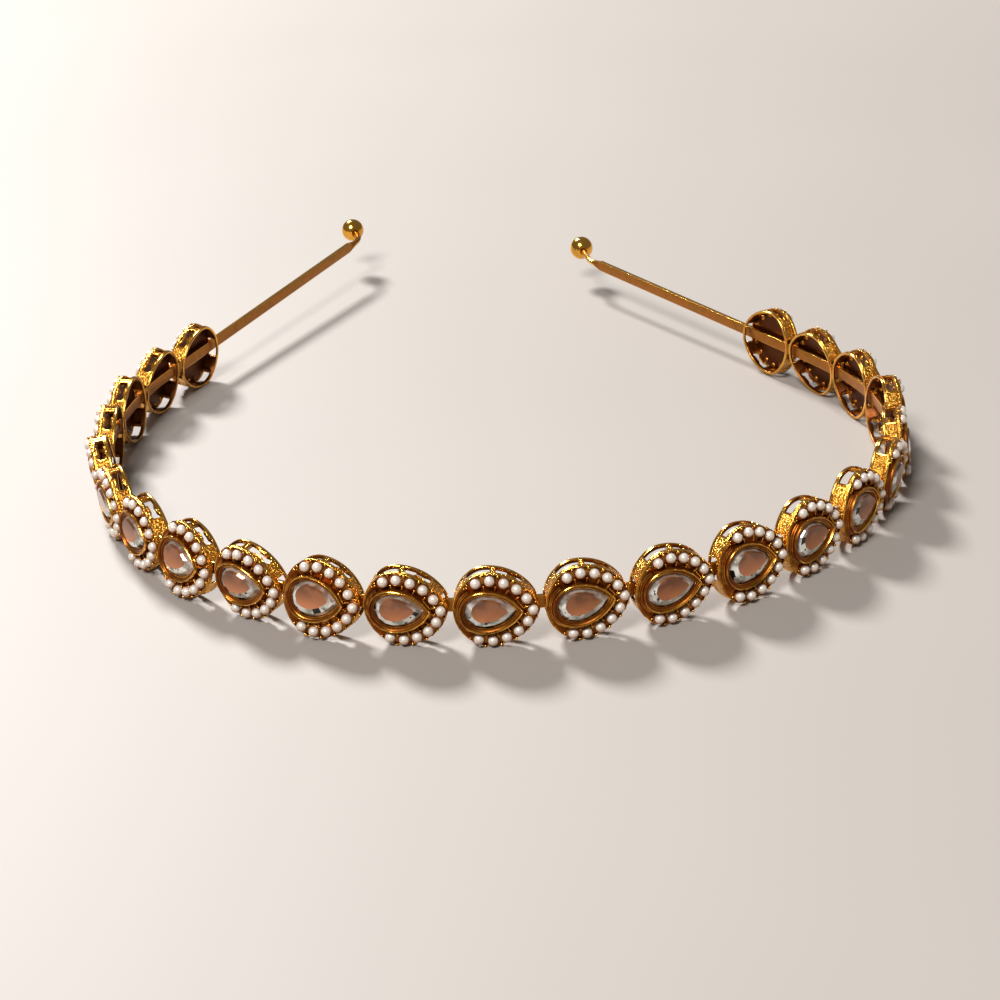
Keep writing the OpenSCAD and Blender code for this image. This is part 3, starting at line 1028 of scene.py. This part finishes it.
def silver_share(x, y):
    """How silvery the stone's edge is at a point, as a painted reflection: all of it below, and less and
    less upwards.
    """
    angle = math.degrees(math.atan2(y, x - BEZEL_X))
    if angle <= 0:
        return 1
    return min(1, max(0, 1 - angle / 25, (angle - 110) / 40))


# Strip and balls


def strip_ring(bm, spot):
    """Section of the strip: a rectangle with rounded corners, bright on its edges, with darker faces as
    a painted reflection of dark surroundings.
    """
    across, up = STRIP_T / 2 - STRIP_ROUND, STRIP_H / 2 - STRIP_ROUND
    verts = []
    for k, (side_y, side_z) in enumerate(((1, 1), (-1, 1), (-1, -1), (1, -1))):
        for part in range(3):
            angle = math.radians(90 * k + 45 * part)
            y = side_y * across + STRIP_ROUND * math.cos(angle)
            z = side_z * up + STRIP_ROUND * math.sin(angle)
            vert = bm.verts.new(spot @ Vector((0, y, z)))
            paint(bm, [vert], 1.0 if abs(z) > up + STRIP_ROUND / 2 else STRIP_FACE_REFLECTION_GOLD)
            verts.append(vert)
    return verts


def wire_ring(spot):
    """Places of the same points on the round wire."""
    places = []
    for k in range(4):
        for part in range(3):
            angle = math.radians(90 * k + 15 + 30 * part)
            across = WIRE_D / 2 * math.cos(angle)
            up = WIRE_D / 2 * math.sin(angle)
            places.append(spot @ Vector((0, across, up)))
    return places


def arm_frame(start, plan, arm):
    """Frame of an arm, whose x axis runs along it from the middle of its level stub."""
    length = sum(radius * math.radians(sweep_angle) for radius, sweep_angle in plan)
    x, y, heading = walk(start, plan, length)
    rise = arm[1]
    return (
        Matrix.Translation((x, y, STRIP_UP)) @ turn(heading, "Z")
        @ Matrix.Translation((STUB / 2, 0, 0)) @ turn(-rise, "Y")
    )


def wire_frame(start, plan, arm):
    """Frame at the end of the wire's bend."""
    length, _, flare, _ = arm
    return (
        arm_frame(start, plan, arm) @ Matrix.Translation((length + TAPER_L, -WIRE_BEND_R, 0))
        @ turn(-flare, "Z") @ Matrix.Translation((0, WIRE_BEND_R, 0))
    )


def section_places(spot):
    """Places of the strip section's points in a frame."""
    bm = new_metal()
    places = [vert.co.copy() for vert in strip_ring(bm, spot)]
    bm.free()
    return places


def add_strip_side(bm, start, plan, arm, side):
    """One side of the strip, from the middle setting to the wire's end inside the ball."""
    x, y, heading = start
    first = len(bm.verts)
    verts = strip_ring(bm, Matrix.Translation((x, y, STRIP_UP)) @ turn(heading, "Z"))
    edges = [bm.edges.new(pair) for pair in zip(verts, verts[1:] + verts[:1])]
    geom = verts + edges
    spot = start
    for radius, sweep_angle in plan:
        x, y, heading = spot
        ahead = math.radians(heading)
        centre = (x - radius * math.sin(ahead), y + radius * math.cos(ahead), 0)
        turned = bmesh.ops.spin(
            bm, geom=geom, cent=centre, axis=(0, 0, 1), angle=math.radians(sweep_angle),
            steps=math.ceil(sweep_angle / 3),
        )
        geom = turned["geom_last"]
        spot = along_arc(spot, radius, sweep_angle)
    ring = [item for item in geom if isinstance(item, bmesh.types.BMEdge)]
    length, _, flare, wire = arm
    along = arm_frame(start, plan, arm)
    for distance in (0, length):
        _, ring = next_ring(bm, ring, section_places(along @ Matrix.Translation((distance, 0, 0))))
    taper_end = along @ Matrix.Translation((length + TAPER_L, 0, 0))
    verts, ring = next_ring(bm, ring, wire_ring(taper_end))
    centre = along @ Vector((length + TAPER_L, -WIRE_BEND_R, 0))
    axis = along.to_3x3() @ Vector((0, 0, 1))
    turned = bmesh.ops.spin(
        bm, geom=verts + ring, cent=centre, axis=axis, angle=-math.radians(flare), steps=8
    )
    ring = [item for item in turned["geom_last"] if isinstance(item, bmesh.types.BMEdge)]
    into_ball = 2
    end = wire_frame(start, plan, arm) @ Matrix.Translation((wire + into_ball, 0, 0))
    next_ring(bm, ring, wire_ring(end))
    bm.verts.ensure_lookup_table()
    bmesh.ops.scale(bm, vec=(side, 1, 1), verts=bm.verts[first:])


def next_ring(bm, ring, places):
    """Extrude a ring and put each new point in the place that lies on its own side of the section."""
    grown = bmesh.ops.extrude_edge_only(bm, edges=ring)["geom"]
    verts = [item for item in grown if isinstance(item, bmesh.types.BMVert)]
    middle_old = sum((vert.co for vert in verts), Vector()) / len(verts)
    middle_new = sum(places, Vector()) / len(places)
    left = list(places)
    for vert in verts:
        arm = vert.co - middle_old
        best = max(left, key=lambda at: arm.normalized().dot((at - middle_new).normalized()))
        left.remove(best)
        vert.co = best
    return verts, [item for item in grown if isinstance(item, bmesh.types.BMEdge)]


def strip_mesh():
    bm = new_metal()
    add_strip_side(bm, MIDDLE_SPOT, RIGHT_PLAN, RIGHT_ARM, 1)
    add_strip_side(bm, mirrored_spot(MIDDLE_SPOT), LEFT_PLAN, LEFT_ARM, -1)
    bmesh.ops.remove_doubles(bm, verts=bm.verts, dist=NEAR)
    fill_holes(bm)
    bmesh.ops.scale(bm, vec=(MM, MM, MM), verts=bm.verts)
    return finished_mesh(bm, "strip")


def ball_mesh(start, plan, arm, side):
    """End ball with a rounded mouth where the wire goes in."""
    radius = settings().sizes.ball_diameter / MM / 2
    bore_depth = 1
    mouth_round = 0.1
    mouth_depth = 0.06
    mouth = math.degrees(math.asin((BORE_R + mouth_round) / radius))
    mouth_at = radius * math.cos(math.radians(mouth)) - mouth_depth
    profile = [(radius - bore_depth, BORE_R), (mouth_at, BORE_R)]
    steps = 14
    for k in range(steps + 1):
        angle = math.radians(mouth + (180 - mouth) * k / steps)
        profile.append((radius * math.cos(angle), radius * math.sin(angle)))
    bm = new_metal()
    verts = [bm.verts.new((-x, 0, out)) for x, out in profile]
    edges = [bm.edges.new(pair) for pair in zip(verts, verts[1:])]
    bmesh.ops.spin(
        bm, geom=verts + edges, cent=(0, 0, 0), axis=(1, 0, 0), angle=2 * math.pi, steps=32,
        use_merge=True,
    )
    bmesh.ops.remove_doubles(bm, verts=bm.verts, dist=NEAR)
    fill_holes(bm)
    paint(bm, bm.verts, 1)
    centre = wire_frame(start, plan, arm) @ Matrix.Translation((arm[3] + radius, 0, 0))
    sized = Matrix.Diagonal((side * MM, MM, MM, 1))
    bmesh.ops.transform(bm, matrix=sized @ centre, verts=bm.verts)
    return finished_mesh(bm, "ball")


# Operators


def two_digits(number):
    return f"{number:02d}"


class BAND_OT_castings(Operator):
    """Add the gold casting of every setting"""

    bl_idname = "band.castings"
    bl_label = "Castings"

    def execute(self, context):
        colours = settings().colours
        gold = gold_finish("antique_gold", colours.gold, colours.lacquer, 1.0, 0.2)
        pattern = casting_mesh()
        pattern.materials.append(gold)
        for number in range(1, COUNT + 1):
            mesh = pattern.copy()
            mesh.transform(pose(number))
            name = two_digits(number)
            add_piece("casting_" + name, mesh, "gold", "setting_" + name)
        bpy.data.meshes.remove(pattern)
        return {"FINISHED"}


class BAND_OT_stones(Operator):
    """Add the pear-shaped stone of every setting"""

    bl_idname = "band.stones"
    bl_label = "Stones"

    def execute(self, context):
        colours = settings().colours
        finish_and_painted_light = stone_finish(colours.foil_and_reflection, colours.silver)
        for number in range(1, COUNT + 1):
            mesh = stone_mesh(number)
            mesh.materials.append(finish_and_painted_light)
            mesh.transform(pose(number))
            name = two_digits(number)
            add_piece("cut_stone_" + name, mesh, "stone", "stone_" + name)
        return {"FINISHED"}


class BAND_OT_pearls(Operator):
    """Add the two strings of pearls that the settings hold"""

    bl_idname = "band.pearls"
    bl_label = "Pearls"

    def execute(self, context):
        finish_and_painted_light = pearl_finish(settings().colours.pearl)
        radius = settings().sizes.pearl_diameter / MM / 2
        halves = (("left", range(1, MIDDLE)), ("right", range(MIDDLE, COUNT + 1)))
        for side, numbers in halves:
            bm = new_metal()
            for number in numbers:
                lower = PEARLS_LAST_SIDE if number == COUNT else PEARLS_A_SIDE
                for spot in at_pearls(0, PEARL_Z, lower):
                    where = pose(number) @ spot
                    pearl = bmesh.ops.create_uvsphere(
                        bm, u_segments=12, v_segments=8, radius=radius, matrix=where
                    )
                    for vert in pearl["verts"]:
                        # Height of each point in its pearl, for the painted shade and painted reflection
                        # below
                        rise = (vert.co - where.translation).z / (radius * MM)
                        paint(bm, [vert], 0.5 + rise / 2)
            mesh = finished_mesh(bm, "pearls_" + side, sharp=180)
            mesh.materials.append(finish_and_painted_light)
            add_piece("pearl_row_" + side, mesh, "pearl", "pearls_" + side)
        return {"FINISHED"}


class BAND_OT_strip(Operator):
    """Add the spring strip with its wire ends"""

    bl_idname = "band.strip"
    bl_label = "Spring strip"

    def execute(self, context):
        colours = settings().colours
        mesh = strip_mesh()
        finish_and_painted_light = gold_finish("plated_spring", colours.gold, colours.lacquer, 0.6, 0.02)
        mesh.materials.append(finish_and_painted_light)
        add_piece("plated_strip", mesh, "strip", "spring_strip")
        return {"FINISHED"}


class BAND_OT_balls(Operator):
    """Add the ball at the end of each arm"""

    bl_idname = "band.balls"
    bl_label = "End balls"

    def execute(self, context):
        colours = settings().colours
        finish_and_painted_light = gold_finish("polished_gold", colours.gold, colours.lacquer, 0.2, 0.05)
        left = ball_mesh(mirrored_spot(MIDDLE_SPOT), LEFT_PLAN, LEFT_ARM, -1)
        right = ball_mesh(MIDDLE_SPOT, RIGHT_PLAN, RIGHT_ARM, 1)
        for side, mesh in (("left", left), ("right", right)):
            mesh.materials.append(finish_and_painted_light)
            add_piece("end_ball_" + side, mesh, "gold", "ball_" + side)
        return {"FINISHED"}


def add_softbox(name, at, size, power):
    """A round soft light that points at the middle of the band."""
    light = bpy.data.lights.new(name, "AREA")
    light.shape = "DISK"
    light.size = size
    light.energy = power
    lamp = bpy.data.objects.new(name, light)
    bpy.context.scene.collection.objects.link(lamp)
    aim = (-Vector(at)).to_track_quat("-Z", "Y")
    lamp.matrix_world = Matrix.Translation(at) @ aim.to_matrix().to_4x4()


def add_camera():
    camera_data = bpy.data.cameras.new("camera")
    camera_data.lens = CAMERA_LENS
    camera_data.sensor_width = CAMERA_SENSOR
    camera_data.sensor_fit = "HORIZONTAL"
    camera_data.clip_start = 0.01
    camera = bpy.data.objects.new("camera", camera_data)
    bpy.context.scene.collection.objects.link(camera)
    camera.matrix_world = (
        Matrix.Translation(Vector(CAMERA_AT) * MM)
        @ Matrix.Rotation(math.pi / 2 - CAMERA_DOWN, 4, "X")
        @ Matrix.Rotation(CAMERA_ROLL, 4, "Z")
    )
    bpy.context.scene.camera = camera


class BAND_OT_stage(Operator):
    """Add the floor, the studio light and the camera"""

    bl_idname = "band.stage"
    bl_label = "Stage"

    def execute(self, context):
        light = settings().light
        bm = bmesh.new()
        bmesh.ops.create_grid(bm, x_segments=8, y_segments=8, size=FLOOR_HALF)
        floor = bpy.data.objects.new("floor", finished_mesh(bm, "floor"))
        floor.data.materials.append(floor_finish(settings().colours.floor))
        context.scene.collection.objects.link(floor)
        add_softbox("key", KEY_AT, KEY_SIZE, light.key)
        add_softbox("fill", FILL_AT, FILL_SIZE, light.fill)
        world = bpy.data.worlds.new("studio")
        world.use_nodes = True
        background = world.node_tree.nodes["Background"]
        background.inputs["Color"].default_value = SKY_COLOUR
        background.inputs["Strength"].default_value = light.sky
        context.scene.world = world
        context.scene.view_settings.view_transform = "Standard"
        add_camera()
        return {"FINISHED"}


class BAND_PT_panel(Panel):
    bl_label = "Hair Band"
    bl_idname = "BAND_PT_panel"
    bl_space_type = "VIEW_3D"
    bl_region_type = "UI"
    bl_category = "Hair Band"

    def draw(self, context):
        band = context.scene.hair_band
        for group in (band.sizes, band.colours, band.light):
            box = self.layout.box()
            for name in group.__annotations__:
                box.prop(group, name)
        for operator in OPERATORS:
            self.layout.operator(operator.bl_idname)


OPERATORS = (
    BAND_OT_stage, BAND_OT_castings, BAND_OT_stones, BAND_OT_pearls, BAND_OT_strip, BAND_OT_balls
)
CLASSES = (BandSizes, BandColours, BandLight, BandSettings, *OPERATORS, BAND_PT_panel)


def register():
    for item in CLASSES:
        bpy.utils.register_class(item)
    bpy.types.Scene.hair_band = PointerProperty(type=BandSettings)


def unregister():
    del bpy.types.Scene.hair_band
    for item in reversed(CLASSES):
        bpy.utils.unregister_class(item)


def main():
    register()
    bpy.ops.band.stage()
    bpy.ops.band.castings()
    bpy.ops.band.stones()
    bpy.ops.band.pearls()
    bpy.ops.band.strip()
    bpy.ops.band.balls()


if __name__ == "__main__":
    main()
